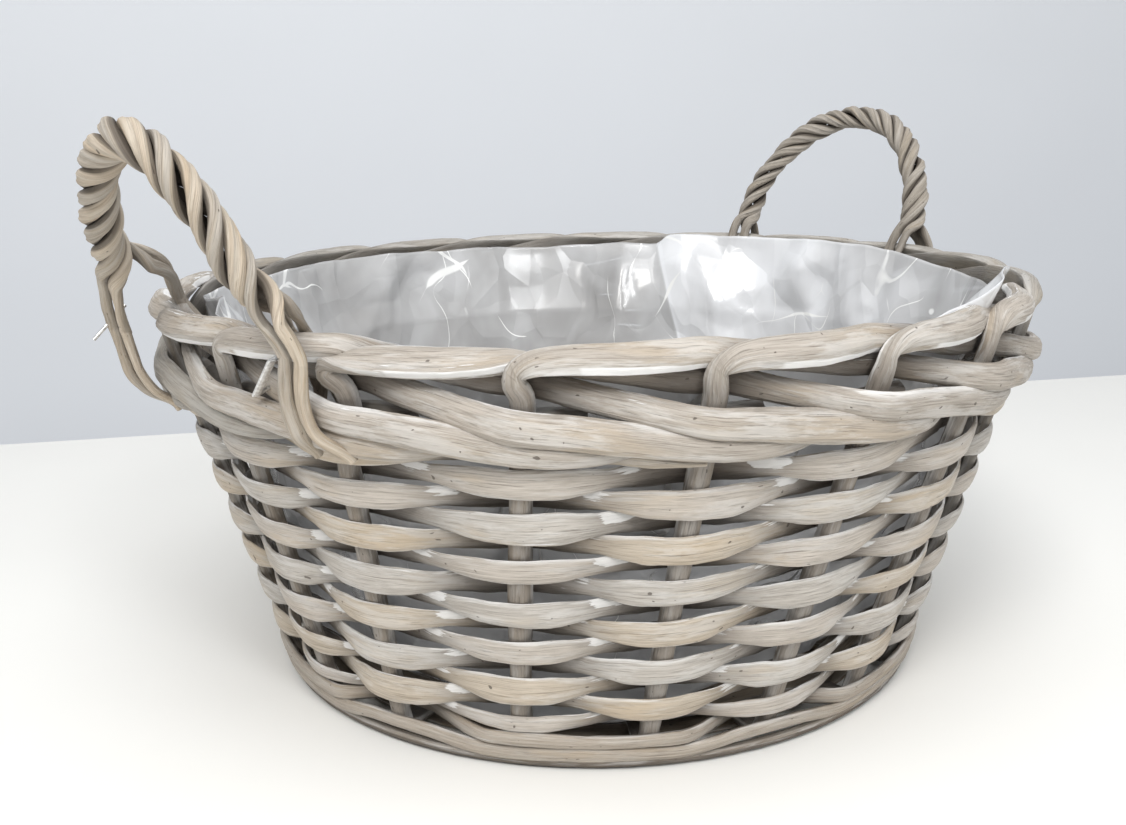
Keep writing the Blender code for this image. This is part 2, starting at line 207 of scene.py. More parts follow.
def split_willow_tree():
    """Sweeps a half-round or lens-shaped section along a path, with a rough skin and cut ends."""
    done, inlet, made = new_tree("split_willow", (
        ("Step", "Float", 0.0015),
        ("Around", "Int", 12),
        ("Closed", "Bool", False),
        ("Skin Bulge", "Float", 0.5),
        ("Split Bulge", "Float", 0.4),
        ("Squareness", "Float", 0.7),
        ("Groove", "Float", 0.0),
        ("Roughness", "Float", 0.0003),
        ("Width Change", "Float", 0.08),
        ("Seed", "Float", 0.0),
        ("Willow", "Material", None),
    ))
    path = made("MeshToCurve", {"Mesh": inlet("Path")})
    path = made("CurveSplineType", {"Curve": path}, spline_type="CATMULL_ROM")
    path = made("SetSplineResolution", {"Geometry": path, "Resolution": 12})
    length = made("CurveLength", {"Curve": path})
    rows = combine("ROUND", length / inlet("Step"))
    closed = inlet("Closed")

    def if_closed(ring, rod):
        return made("Switch", {"Switch": closed, "False": rod, "True": ring}, input_type="FLOAT")

    row_count = if_closed(rows + 1.0, rows + 5.0)
    grid, row, column = numbered_grid(made, row_count, inlet("Around") + 1.0)
    tree = grid.tree
    along = if_closed(row / rows, (row - 1.75) / (rows + 0.5))
    along = given_by(tree, "Clamp", {"Value": along})
    from_end = combine("MINIMUM", row, row_count - 1.0 - row)
    end_scale = given_by(tree, "MapRange", {"Value": from_end, "To Max": 0.88})
    end_scale = highest(end_scale, combine("GREATER_THAN", from_end, 1.5), closed)

    def sampled(label, kind="FLOAT", output="Value"):
        carried = made("InputNamedAttribute", {"Name": label}, data_type=kind)
        return made("SampleCurve", {"Curves": path, "Value": carried, "Factor": along}, output=output,
                    mode="FACTOR", data_type=kind, use_all_curves=True)

    # The recess value is painted shade: how dark the piece is drawn where it lies deep in the weave.
    width, depth, twist, recess, dab = (
        sampled(label) for label in ("width", "depth", "twist", "recess", "dab"))
    middle = sampled("width", output="Position")
    tangent = vectors("NORMALIZE", sampled("width", output="Tangent"))
    across = vectors("NORMALIZE", vectors("CROSS_PRODUCT", tangent, sampled("outward", "FLOAT_VECTOR")))
    across, proud = (
        given_by(tree, "VectorRotate", {"Vector": side, "Axis": tangent, "Angle": twist},
                 rotation_type="AXIS_ANGLE")
        for side in (across, vectors("CROSS_PRODUCT", across, tangent)))

    round_share = column / inlet("Around")
    angle = round_share * (2 * pi)
    cosine, sine = combine("COSINE", angle), combine("SINE", angle)
    side = combine("SIGN", cosine) * combine("POWER", abs(cosine), inlet("Squareness")) * 0.5
    notch = cosine / 0.17
    notch = combine("EXPONENT", notch * notch * -1.0) * combine("GREATER_THAN", sine, 0.0)
    skin = highest(sine, 0.0) * inlet("Skin Bulge") * (1.0 - notch * inlet("Groove") * 0.8)
    rise = skin + combine("MINIMUM", sine, 0.0) * inlet("Split Bulge")
    groove = notch * combine("GREATER_THAN", inlet("Groove"), 0.0)

    way = along * length
    seed = inlet("Seed")
    swell = (clouds(axes(way * 38.0, seed, 0.0), 1.0) - 0.5) * inlet("Width Change")
    width = width * (1.0 + swell * 2.0) * end_scale
    depth = depth * end_scale
    lobes = axes(way * 150.0, cosine * 1.1 + seed, sine * 1.1)
    rough = (clouds(lobes, 1.0, 3.0) - 0.5) * inlet("Roughness") * end_scale
    place = vectors("ADD", middle, vectors("SCALE", across, side * width + cosine * rough))
    place = vectors("ADD", place, vectors("SCALE", proud, rise * depth + sine * rough))
    piece = made("SetPosition", {"Geometry": grid, "Position": place})
    for label, kind, domain, value in (
            ("UVMap", "FLOAT2", "CORNER", axes(way, round_share, 0.0)),
            ("grain", "FLOAT_VECTOR", "POINT", axes(way, cosine * 0.004, sine * 0.004 + seed)),
            ("recess", "FLOAT", "POINT", recess), ("dab", "FLOAT", "POINT", dab),
            ("edge", "FLOAT", "POINT", cosine), ("skin", "FLOAT", "POINT", sine),
            ("groove", "FLOAT", "POINT", groove)):
        piece = made("StoreNamedAttribute", {"Geometry": piece, "Name": label, "Value": value},
                     data_type=kind, domain=domain)
    piece = made("MergeByDistance", {"Geometry": piece, "Distance": 0.00002})
    soft = combine("LESS_THAN", made("InputMeshEdgeAngle"), radians(55))
    piece = made("SetShadeSmooth", {"Geometry": piece, "Selection": soft, "Shade Smooth": True},
                 domain="EDGE")
    return dressed(piece, inlet("Willow"), done)


def made_piece(name, path, tree, sizes):
    """Runs a tree over a path and leaves its result as a plain mesh at the origin."""
    piece = new_object(name, path)
    work = piece.modifiers.new("work", "NODES")
    work.node_group = tree
    for socket in tree.interface.items_tree:
        if socket.in_out == "INPUT" and socket.name in sizes:
            work[socket.identifier] = sizes[socket.name]
    mesh = bpy.data.meshes.new_from_object(piece.evaluated_get(bpy.context.evaluated_depsgraph_get()))
    piece.modifiers.clear()
    piece.data = mesh
    mesh.name = name
    return piece


def willow_path(name, rows, closed):
    """Line of points, each with the way out of the wall, width, depth, twist, painted shade and dab."""
    path = bpy.data.meshes.new(name)
    places = [row[0] for row in rows]
    links = [(i, i + 1) for i in range(len(rows) - 1)] + ([(len(rows) - 1, 0)] if closed else [])
    path.from_pydata(places, links, [])
    outward = path.attributes.new("outward", "FLOAT_VECTOR", "POINT")
    outward.data.foreach_set("vector", [value for row in rows for value in row[1]])
    for column, label in enumerate(("width", "depth", "twist", "recess", "dab"), 2):
        values = path.attributes.new(label, "FLOAT", "POINT")
        values.data.foreach_set("value", [row[column] for row in rows])
    return path


split_willow = split_willow_tree()


def willow_rod(name, rows, material, slot, closed=False, **sizes):
    """One split rod or strip of the basket, swept, dressed and set on its body."""
    sizes = {key.replace("_", " "): value for key, value in sizes.items()}
    piece = made_piece(name, willow_path(name, rows, closed), split_willow,
                       {"Closed": closed, "Willow": material, **sizes})
    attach(piece, "root")
    return piece


# Willow finish: split willow washed grey and dry-brushed white. The grain runs along the rod,
# the wash stays in patches and along the edges, and the recesses of the weave get painted shade.
def along_grain(grain, along, across, detail, roughness=0.6, shift=0.0):
    """Noise drawn out along the rod's grain."""
    place = vectors("MULTIPLY_ADD", grain, (along, across, across), (shift, shift, shift))
    return clouds(place, 1.0, detail, roughness)


def mixed(share, first, second):
    """Mix of two colours. Each is a Value or its red, green and blue."""
    first, second = (side if isinstance(side, Value) else (*side, 1.0) for side in (first, second))
    return given_by(share.tree, "Mix", {0: share, 6: first, 7: second}, 2, data_type="RGBA")


def bumped(height, strength, distance):
    return given_by(height.tree, "Bump",
                    {"Strength": strength, "Distance": distance, "Height": height})


def new_material(name):
    material = bpy.data.materials.new(name)
    material.use_nodes = True
    return material, material.node_tree, material.node_tree.nodes["Principled BSDF"]


white_paint = (0.85, 0.84, 0.825)


def washed_willow(name, pale, dark, deep, white_share, wash_colour, band_white=0.0, gap_shade=0.0,
                  dab_strength=0.75, rim_white=0.8):
    """Split willow: fine brushed grain under a thin grey wash, hard-edged white dabs, painted shade."""
    material, tree, shader = new_material(name)

    def carried(label, output="Fac"):
        return given_by(tree, "Attribute", (), output, attribute_name=label)

    grain = carried("grain", "Vector")
    recess, edge, skin, dab, groove = (
        carried(label) for label in ("recess", "edge", "skin", "dab", "groove"))
    from_middle = abs(edge)
    fibre = along_grain(grain, 110.0, 4600.0, 4.0, 0.7)
    streak = along_grain(grain, 42.0, 2100.0, 4.0, 0.65, 4.0)
    broad = along_grain(grain, 40.0, 340.0, 5.0, 0.7, 9.0)
    tone = along_grain(grain, 26.0, 130.0, 2.0, 0.5, 17.0)
    colour = mixed(between(fibre * 0.55 + streak * 0.45, 0.34, 0.62), dark, pale)
    tanned = between(tone, 0.50, 0.66) * between(streak, 0.25, 0.60)
    colour = mixed(tanned * 0.65, colour, (pale[0] * 0.93, pale[1] * 0.85, pale[2] * 0.73))
    hair = between(along_grain(grain, 34.0, 3900.0, 5.0, 0.7, 25.0), 0.57, 0.64)
    colour = mixed(hair * 0.42, colour, deep)
    colour = mixed(between(broad, 0.46, 0.60) * 0.55, colour, wash_colour)
    pores = between(along_grain(grain, 95.0, 6500.0, 2.0, 0.5, 2.0), 0.62, 0.72)
    colour = mixed(pores * 0.4, colour, deep)
    knots = between(along_grain(grain, 520.0, 900.0, 0.0, 0.5, 31.0), 0.83, 0.86)
    colour = mixed(knots * 0.75, colour, deep)

    # Painted shade: darker in the weave's recesses and, by gap_shade, on the split side facing the gaps.
    shade = recess * (0.72 + streak * 0.4)
    inner = between(skin * -1.0, -0.42, 0.45) * gap_shade
    if not dab_strength:
        # On the ears, painted shade also runs along the strands' sides, mostly in the rope.
        strand_side_shade = between(from_middle + streak * 0.3, 0.96, 1.14)
        inner = highest(inner, strand_side_shade * 0.75) * (0.35 + dab * 0.65)
    cracked = between(groove + streak * 0.35, 0.86, 1.0)
    cracked = cracked * between(along_grain(grain, 34.0, 100.0, 2.0, 0.5, 21.0), 0.48, 0.54)
    colour = mixed(highest(shade, inner, cracked * 0.9), colour, deep)

    brush = along_grain(grain, 60.0, 800.0, 5.0, 0.65, 6.0)
    patch = along_grain(grain, 24.0, 200.0, 2.0, 0.5, 12.0)
    wiped = between(patch * 0.9 + brush * 0.45, 0.90 - white_share, 0.96 - white_share)
    upper = between(edge * -1.0, -0.55, 0.6)
    dabbed = between(combine("MINIMUM", dab, 0.9) * upper * dab_strength + brush * 0.75, 0.76, 0.80)
    rim = combine("POWER", from_middle, 7.0)
    rim = rim * between(along_grain(grain, 45.0, 300.0, 4.0, 0.6, 15.0), 0.46, 0.56) * rim_white
    laid = between(dab, 0.90, 0.98) * band_white
    band = between(from_middle + brush * 0.16, 0.94, 0.98) * laid * between(skin, -0.75, -0.35)
    white = highest(wiped * 0.8, dabbed, rim, band)
    # The white is held back where painted shade lies.
    colour = mixed(white * (0.97 - recess * 0.55), colour, white_paint)
    roughness = given_by(tree, "MapRange", {"Value": fibre, "To Min": 0.55, "To Max": 0.8})
    relief = fibre * 0.5 + streak * 0.3 + white * 0.3 - highest(pores, knots) * 0.5
    fill(shader, {"Base Color": colour, "Roughness": roughness, "Specular IOR Level": 0.35,
                  "Normal": bumped(relief, 0.75, 0.0006)})
    return material


# Wall: it leans out from the foot to the rim. A place on it is counted in stakes round the
# basket, in metres down the slope from the crest, and in metres out of the stakes' middle line.
rim_radius = 0.157
foot_radius = 0.116
basket_height = 0.139
wall_slant = atan2(rim_radius - foot_radius, basket_height)
wall_length = hypot(rim_radius - foot_radius, basket_height)
stake_count = 19
stake_width = 0.0070
stake_depth = 0.0050
stake_slant = radians(5.5)
first_stake_turn = radians(-27.2)
stake_spacing = 2 * pi / stake_count
gap = 0.0003
leaning_stake = 12
leaning_extra = radians(1.7)
leaning_from = 0.020
downward = Vector((0, 0, -1))


def clamped(share, top=1.0):
    return min(max(share, 0.0), top)


def eased(share):
    share = clamped(share)
    return share * share * (3 - 2 * share)


def stake_turn(place, down):
    """Angle of a place on the wall; below the border the leaning stake pulls its neighbourhood."""
    near = cos(pi / 2 * min(abs(place % stake_count - leaning_stake), 1.0)) ** 2
    pull = leaning_extra * near * eased((down - leaning_from) / leaning_from)
    return first_stake_turn + place * stake_spacing - stake_slant * down / wall_length - pull


def polar_point(turn, radius, height):
    return Vector((radius * cos(turn), radius * sin(turn), height))


def round_point(turn, down, out):
    """Place by its angle, its depth below the crest and its way out of the stakes' middle line."""
    radius = rim_radius - down * sin(wall_slant) + out * cos(wall_slant)
    return polar_point(turn, radius, basket_height - down * cos(wall_slant) - out * sin(wall_slant))


def wall_point(place, down, out):
    return round_point(stake_turn(place, down), down, out)


def wall_outward(turn):
    return polar_point(turn, cos(wall_slant), -sin(wall_slant))


def depth_at(height):
    return (basket_height - height) / cos(wall_slant)


def drift(seed, place, size):
    """Small smooth wandering of a hand-laid rod."""
    return size * noise.noise(Vector((place, seed * 7.31, 3.7)))


# Foot: three thin brown rods lie round the stakes' feet. The basket stands on the lowest, the
# second is plain and the third passes in front of two stakes and behind the next.
foot_rod_width = 0.0046
foot_rod_depth = foot_rod_width * stake_depth / stake_width
foot_out = (stake_depth + foot_rod_depth) / 2 + gap
foot_middle_height = 0.00558
foot_top_height = 0.01179
foot_rise = 0.0034
foot_tip = 0.0002
# The lowest rod is rolled: its outer edge stands clear of the floor, and its split side, darkened with
# gap_shade's painted shade, faces out and down as a painted contact shadow.
foot_roll = -0.5
dip_reach = 0.82
dip_ramp = 0.66
foot_willow = washed_willow("foot_willow", (0.57, 0.505, 0.43), (0.36, 0.30, 0.24),
                            (0.06, 0.045, 0.033), 0.02, (0.56, 0.52, 0.465), gap_shade=0.8,
                            rim_white=0.5)


def foot_rows(number):
    rows = []
    steps = 8 * stake_count
    for step in range(steps):
        place = step / 8
        turn = stake_turn(place, wall_length)
        width = foot_rod_width * (1.12 + drift(number, place * 0.9, 0.22))
        # The lowest rod gets a fixed painted shade.
        if number == 1:
            spot = polar_point(turn, foot_radius + foot_out, foot_rod_depth / 2 + foot_tip)
            rows.append((spot, Vector((0, 0, 1)), foot_rod_width, foot_rod_depth, foot_roll, 0.30, 0.0))
            continue
        from_dip = min(abs(place - dip) for dip in range(0, stake_count - 1, 3))
        dip = eased((dip_reach - min(from_dip, stake_count - place)) / dip_ramp)
        if number == 2:
            down = depth_at(foot_middle_height) - foot_out * tan(wall_slant) - foot_rise * dip
            out = foot_out
        else:
            down = depth_at(foot_top_height)
            out = foot_out * (1 - 2 * dip)
        down += drift(number + 20, place * 1.3, 0.0009)
        spot = wall_point(place, down, out)
        # Painted shade: darker where the rod passes behind the stakes.
        recess = 0.15 + 0.6 * (foot_out - out) / (2 * foot_out)
        twist = drift(number + 5, place * 0.5, 0.5)
        rows.append((spot, wall_outward(turn), width, foot_rod_depth, twist, recess, 0.0))
    return rows


for number in (1, 2, 3):
    rod = willow_rod(f"foot_rod_{number}", foot_rows(number), foot_willow, "foot_willow", closed=True,
                     Skin_Bulge=0.55, Split_Bulge=0.45, Squareness=0.8, Roughness=0.0006,
                     Width_Change=0.25, Seed=number * 3.7)
    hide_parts(f"foot_round_{number}")


# Wall strips: flat split willow, laid end to end in one rising spiral, in front of one stake and
# behind the next. A strip is widest in front of a stake and drawn narrow where strips cross.
strip_depth = 0.0022
strip_give = 0.0010
strip_spread = 1.09
spiral_rounds = 13
spiral_start = 4
strip_stakes = 24
spiral_end = stake_count * (spiral_rounds + 1) - spiral_start - 1
end_taper = 0.7
strip_wander = 0.0013
cross_reach = 0.27
under_border = 9
border_depth = 4.62 * stake_width
weave_foot = depth_at(0.01479)
weave_pitch = (weave_foot - border_depth - gap) / spiral_rounds
weave_out = (stake_depth + strip_depth) / 2 + gap
strip_deep = (0.085, 0.068, 0.054)
strip_willows = [
    washed_willow(name, pale, dark, strip_deep, white_share, wash)
    for name, pale, dark, white_share, wash in (
        ("strip_greige", (0.595, 0.54, 0.48), (0.40, 0.355, 0.305), 0.0, (0.64, 0.61, 0.575)),
        ("strip_tan", (0.60, 0.525, 0.43), (0.42, 0.35, 0.27), 0.02, (0.66, 0.62, 0.57)),
        ("strip_grey", (0.58, 0.54, 0.49), (0.375, 0.34, 0.30), 0.05, (0.66, 0.64, 0.61)))]


def strip_rows(start, end, seed):
    """Rows of one strip: its edges stand apart in front of and behind a stake."""
    last = stake_count * spiral_rounds
    rows = []
    for step in range(8 * (end - start) + 1):
        place = start + step / 8
        lower = max(place - stake_count, 0) / stake_count
        upper = min(place, last + under_border) / stake_count
        opened = eased(abs(place % 1 - 0.5) / cross_reach)
        give_low = strip_give * opened * min(lower * 6, 1.0)
        give_high = strip_give * opened
        low = weave_foot - weave_pitch * lower - gap + give_low
        high = weave_foot - weave_pitch * upper + gap - give_high
        wave = -cos(pi * place)
        wander = drift(seed, place * 0.8, strip_wander) * min(low - high, 0.008) / 0.008
        down = (low + high) / 2 + wander
        width = max(low - high, 0.0012) * (strip_spread + drift(seed + 9, place * 0.7, 0.17))
        width *= 1 - 0.8 * eased((place - spiral_end + end_taper) / end_taper)
        out = weave_out * 1.03 * wave
        turn = stake_turn(place, down)
        twist = radians(9) * (1 - opened) + drift(seed + 3, place * 0.9, 0.25)
        # Painted shade: darker where the strip passes behind a stake, none in front.
        recess = (1 - wave) / 2 if wave < 0.2 else 0.4 - wave * 0.45
        from_front = abs((place + 1) % 2 - 1)
        dab = max(0.0, 1 - abs(from_front - 0.42) / 0.20) * (0.88 + drift(seed + 6, place * 0.9, 1.1))
        rows.append((wall_point(place, down, out), wall_outward(turn), width, strip_depth, twist,
                     clamped(recess) ** 1.3, dab))
    return rows


number = 1
for start in range(spiral_start, spiral_end, strip_stakes):
    end = min(start + strip_stakes, spiral_end)
    willow = strip_willows[(number - 1) % len(strip_willows)]
    strip = willow_rod(f"wall_strip_{number:02d}", strip_rows(start, end, number), willow, "strip_willow",
                       Skin_Bulge=0.62, Split_Bulge=0.2, Squareness=0.68, Roughness=0.0007,
                       Width_Change=0.15, Around=18, Seed=number * 5.3)
    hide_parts(f"weaver_{number:02d}")
    number += 1


# Stakes: half-round split willow. Each rises from the base between the wall's strips, bends over
# at the rim and is laid to the right: behind two stakes, in front of two and behind a fifth.
lay_offset = stake_depth + 2 * gap
leg_height = foot_rod_depth + gap + stake_depth / 2
leg_length = 0.0163
# Painted shade on the uprights, which stand under the bent-over tails.
upright_shade = 0.55
# Tail rows: way passed in stakes, depth in stake widths, lay, share of the roll, share of the width and
# painted shade, darkest where the tail lies under or behind the others.
tail_shares = (
    (0.00, 1.36, 0.00, 0.00, 0.95, 0.30), (0.00, 0.98, 0.00, 0.10, 0.86, 0.10),
    (0.03, 0.72, 0.02, 0.50, 0.88, 0.02), (0.09, 0.57, 0.05, 0.90, 1.10, 0.00),
    (0.19, 0.50, 0.05, 1.00, 1.30, 0.00), (0.32, 0.48, 0.05, 1.00, 1.40, 0.00),
    (0.52, 0.50, -0.05, 1.00, 1.42, 0.00),
    (0.75, 0.55, -0.45, 0.95, 1.34, 0.00), (0.95, 0.64, -0.95, 0.80, 1.22, 0.05),
    (1.25, 0.88, -1.00, 0.35, 1.15, 0.60), (1.55, 1.22, -1.00, 0.10, 1.15, 0.55),
    (1.80, 1.55, -1.00, 0.00, 1.15, 0.80), (2.07, 1.77, -1.00, 0.00, 1.15, 0.95),
    (2.24, 1.96, -0.60, 0.00, 1.15, 0.60), (2.50, 2.25, 0.00, 0.10, 1.20, 0.10),
    (2.93, 2.72, 1.00, 0.15, 1.28, 0.00),
    (3.25, 2.97, 1.00, 0.12, 1.32, 0.00), (3.60, 3.33, 1.00, 0.10, 1.32, 0.00),
    (4.00, 3.80, 1.00, 0.10, 1.28, 0.00), (4.30, 3.98, 0.92, 0.10, 1.02, 0.05),
    (4.52, 4.04, 0.45, 0.05, 0.80, 0.25), (4.70, 3.90, -0.25, 0.00, 0.85, 0.60),
    (4.93, 3.50, -1.00, 0.00, 1.05, 0.65), (5.35, 3.35, -1.00, 0.00, 1.10, 0.60),
)
roll_angles = {12: 1.85, 13: -1.30, 14: -1.20, 15: -1.05}
fold_shares = {12: 0.13, 13: 0.05, 14: 0.02}
fold_depth = 2.6 * stake_width
stake_willow = washed_willow("stake_willow", (0.50, 0.45, 0.395), (0.325, 0.285, 0.24), strip_deep, -0.02,
                             (0.64, 0.615, 0.58), band_white=0.95, dab_strength=0.38)
# The stakes at the back of the basket get a darker, less white copy of the stake finish.
back_stake_willow = washed_willow("back_stake_willow", (0.46, 0.43, 0.385), (0.30, 0.27, 0.235),
                            (0.07, 0.058, 0.047), -0.10, (0.47, 0.45, 0.415), dab_strength=0.3,
                            rim_white=0.3)
back_stakes = (0, 1, 2, 3, 4, 5, 6, 7, 17, 18)


def stake_rows(number):
    """Rows of one stake, from its leg's tip to its tail's cut end."""
    foot_turn = stake_turn(number, wall_length)
    leg_end = foot_radius + leg_height * tan(wall_slant)
    kink = foot_rod_width / 2
    # The legs under the base get a strong painted shade.
    rows = [(polar_point(foot_turn, leg_end - inset, leg_height), downward, stake_width, stake_depth,
             0.0, 0.8, 0.0) for inset in (leg_length, 3 * kink, kink)]
    foot = depth_at(leg_height + kink)
    fold = fold_shares.get(number, 0.0)
    for step in range(16):
        down = foot + (1.9 * stake_width - foot) * step / 15
        turn = stake_turn(number, down)
        rows.append((wall_point(number - fold * eased(1.4 - 1.4 * down / fold_depth) * 0.5, down, 0.0),
                     wall_outward(turn), stake_width * (1 + drift(number, down * 30, 0.1)), stake_depth,
                     0.0, upright_shade, 0.0))
    roll = roll_angles.get(number, -1.15 + drift(number + 3, number * 1.7, 1.1))
    for passed, depth_share, lay, roll_share, width_share, recess in tail_shares:
        down = depth_share * stake_width
        passed -= fold * max(0.0, 1 - abs(passed - 0.02) / 0.20)
        turn = stake_turn(number + passed, down)
        width = stake_width * width_share * (1 + drift(number + 1, passed * 1.4, 0.18))
        depth = stake_depth * (1 + 0.6 * (width_share - 1))
        twist = roll * roll_share + drift(number + 7, passed * 1.1, 0.25)
        dab = clamped(0.35 + drift(number + 8, passed * 3.1, 1.5), 0.85)
        if 0.05 < passed < 1.2:
            dab = 1.0
        rows.append((wall_point(number + passed, down, lay * lay_offset), wall_outward(turn),
                     width, depth, twist, recess, dab * clamped(passed * 4)))
    return rows


for number in range(stake_count):
    willow = back_stake_willow if number in back_stakes else stake_willow
    stake = willow_rod(f"willow_stake_{number + 1:02d}", stake_rows(number), willow, "stake_willow",
                       Skin_Bulge=0.72, Split_Bulge=0.16, Squareness=0.62, Roughness=0.0005,
                       Width_Change=0.10, Around=20, Step=0.0012, Seed=number * 2.9 + 40)
    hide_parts(f"stake_{number + 1:02d}")


# Ears: each is a rope of four split strands, twisted together over the top. Two strands go down
# outside the border and two inside it, and their pinched tips are tucked against the wall.
ear_tuck = 0.032
strand_room = 0.0046
strand_spread = 0.0060
strand_standoff = 0.0010
strand_width = 0.0051
strand_depth = 0.0043
rope_radius = 0.0036
rope_quarter = 0.0086
leg_climb = 0.010
leg_drop_from = 0.015
leg_drop_way = 0.019
tip_pinch = 0.010
tip_way = 0.012
leading_tip = -0.0015
trailing_tip = 0.0040
bulge_from = 0.002
bulge_way = 0.016
left_bow = SimpleNamespace(
    span=0.0433, rise=0.0614, fullness=1.0, lean=0.0146, lean_power=0.35, aside=-0.0037, skew=0.0207,
    bend=-0.0083, near_foot=0.040, far_foot=0.045, near_open=(0.0, 0.026), far_open=(0.010, 0.038),
    near_shift=(0.0085, -0.0060), far_shift=(-0.0025, 0.0050), waist=0.0035, bulge=0.0055, thickness=0.92)
right_bow = SimpleNamespace(
    span=0.0460, rise=0.0583, fullness=1.1, lean=0.0, lean_power=1.0, aside=0.0005, skew=-0.0023,
    bend=0.0, near_foot=0.046, far_foot=0.046, near_open=(0.0, 0.012), far_open=(0.0, 0.012),
    near_shift=(0.0, 0.0), far_shift=(0.0, 0.0), waist=0.0, bulge=0.0, thickness=0.86)
ear_deep = (0.05, 0.037, 0.027)
ear_cream, ear_grey, ear_dull = (
    washed_willow(name, pale, dark, ear_deep, white_share, wash, gap_shade=0.95, dab_strength=0.0,
                  rim_white=0.0)
    for name, pale, dark, white_share, wash in (
        ("ear_cream", (0.64, 0.55, 0.44), (0.45, 0.365, 0.275), -0.14, (0.66, 0.60, 0.51)),
        ("ear_grey", (0.53, 0.47, 0.395), (0.35, 0.295, 0.235), -0.10, (0.58, 0.54, 0.48)),
        ("ear_dull", (0.45, 0.405, 0.345), (0.29, 0.25, 0.205), -0.10, (0.52, 0.48, 0.43))))


def bow_line(bow):
    """Ways along an ear's bow, with the place sideways, the height and the outward lean at each."""
    swing = np.linspace(0.0, pi, 241)
    height = np.maximum(np.sin(swing), 0.0) ** bow.fullness
    across = bow.span * np.cos(swing) + bow.skew * height + bow.bend * np.sin(2 * swing)
    over, lean = bow.rise * height, bow.lean * height ** bow.lean_power
    steps = np.sqrt(np.diff(across) ** 2 + np.diff(over) ** 2 + np.diff(lean) ** 2)
    return np.concatenate(([0.0], np.cumsum(steps))), across, over, lean


def ear_place(way, middle, bow, line):
    """Angle, depth below the crest and outward lean at a way along an ear's middle line."""
    ways, across, over, leans = line
    bow_way = way - ear_tuck
    if bow_way < 0:
        splay = bow.near_foot - bow.aside - bow.span
        side_way, down, lean = bow.span - splay * bow_way / ear_tuck, -bow_way, 0.0
    elif bow_way > ways[-1]:
        down = bow_way - ways[-1]
        splay = bow.far_foot + bow.aside - bow.span
        side_way, lean = -bow.span - splay * down / ear_tuck, 0.0
    else:
        side_way, down, lean = (float(np.interp(bow_way, ways, row)) for row in (across, -over, leans))
    return middle + (bow.aside + side_way) / rim_radius, down, lean


def leg_out_at(inset, inner):
    """Way out of the wall of a strand's leg: close at the tip, over the border, closer at the crest."""
    border_out = lay_offset + stake_depth / 2 + strand_standoff + strand_room / 2
    tip_out = stake_depth / 2 + strip_depth + 2 * gap + strand_room / 2
    crest_out = border_out - (lay_offset if inner else lay_offset / 6)
    drop = eased((inset - leg_drop_from) / leg_drop_way)
    return tip_out + (border_out - tip_out) * eased(inset / leg_climb) + (crest_out - border_out) * drop


def strand_rows(middle, strand, seed, bow):
    """Rows of one strand, from the tip by one foot of the ear to the tip by the other."""
    line = bow_line(bow)
    whole = float(line[0][-1]) + 2 * ear_tuck
    rope_start = ear_tuck + sum(bow.near_open) / 2
    rope_end = whole - ear_tuck - sum(bow.far_open) / 2
    quarter_turns = round((rope_end - rope_start) / rope_quarter)
    thick = bow.thickness
    rows = []
    for step in range(141):
        way = whole * step / 140
        near = way < whole / 2
        inset = min(way, whole - way)
        hold, opening = bow.near_open if near else bow.far_open
        foot_share = 1 - eased((inset - ear_tuck - hold) / (opening - hold))
        turn, down, lean = ear_place(way, middle, bow, line)
        here = round_point(turn, down, lean)
        ahead = round_point(*ear_place(way + gap, middle, bow, line))
        out_of_wall = wall_outward(turn)
        over_ear = (ahead - here).cross(out_of_wall).normalized()
        twist_share = clamped((way - rope_start) / (rope_end - rope_start))
        angle = pi / 2 * (strand + 0.5 + quarter_turns * twist_share)
        angle += drift(seed + 1, way * 45, 0.45) * (1 - foot_share)
        slot = pi / 2 * (strand + 0.5 + (0 if near else quarter_turns))
        outer = cos(slot) > 0
        trailing = sin(slot) > 0
        radius = rope_radius * thick * (1 + drift(seed, way * 60, 0.30))
        rope_out = radius * cos(angle)
        rope_over = radius * sin(angle)
        leg_share = min(inset / ear_tuck, 1.0)
        leg_out = copysign(leg_out_at(inset, not outer), cos(slot))
        if outer and not near:
            leg_over = strand_spread * (0.15 + 0.30 * leg_share)
            leg_out += bow.bulge * eased((inset - bulge_from) / bulge_way) * (1.0 if trailing else 0.55)
        else:
            leg_over = strand_spread * (0.50 + 0.14 * (1 - leg_share))
        leg_over = copysign(leg_over, sin(slot))
        outer_shift, inner_shift = bow.near_shift if near else bow.far_shift
        leg_over += outer_shift if outer else inner_shift
        if outer and near:
            leg_over -= bow.waist * sin(pi * leg_share)
        out = rope_out + foot_share * (leg_out - lean - rope_out)
        over = rope_over + foot_share * (leg_over - rope_over)
        over += foot_share * drift(seed + 2, way * 40, 0.0012)
        if near:
            over += (1 - eased(inset / tip_way)) * (trailing_tip if trailing else leading_tip)
        radial = out_of_wall * cos(angle) + over_ear * sin(angle)
        proud = radial * (1 - foot_share) + out_of_wall * copysign(foot_share, cos(slot))
        pinch = 1 - 0.45 * (1 - eased(inset / tip_pinch))
        leaf = 1.25 - 0.45 * abs(2 * leg_share - 0.9) ** 1.5
        width = strand_width * pinch * (1 + drift(seed + 4, way * 50, 0.40))
        width *= thick + foot_share * (leaf - thick)
        depth = strand_depth * (0.6 + 0.4 * pinch) * (1 + drift(seed + 5, way * 50, 0.3))
        depth *= thick + foot_share * (0.8 - thick)
        own_twist = drift(seed + 6, way * 26, 0.9)
        # Painted shade on the legs that go down inside the border.
        recess = 0.05 + 0.35 * foot_share * (not outer)
        rows.append((here + out * out_of_wall + over * over_ear, proud, width, depth, own_twist, recess,
                     1 - foot_share))
    return rows


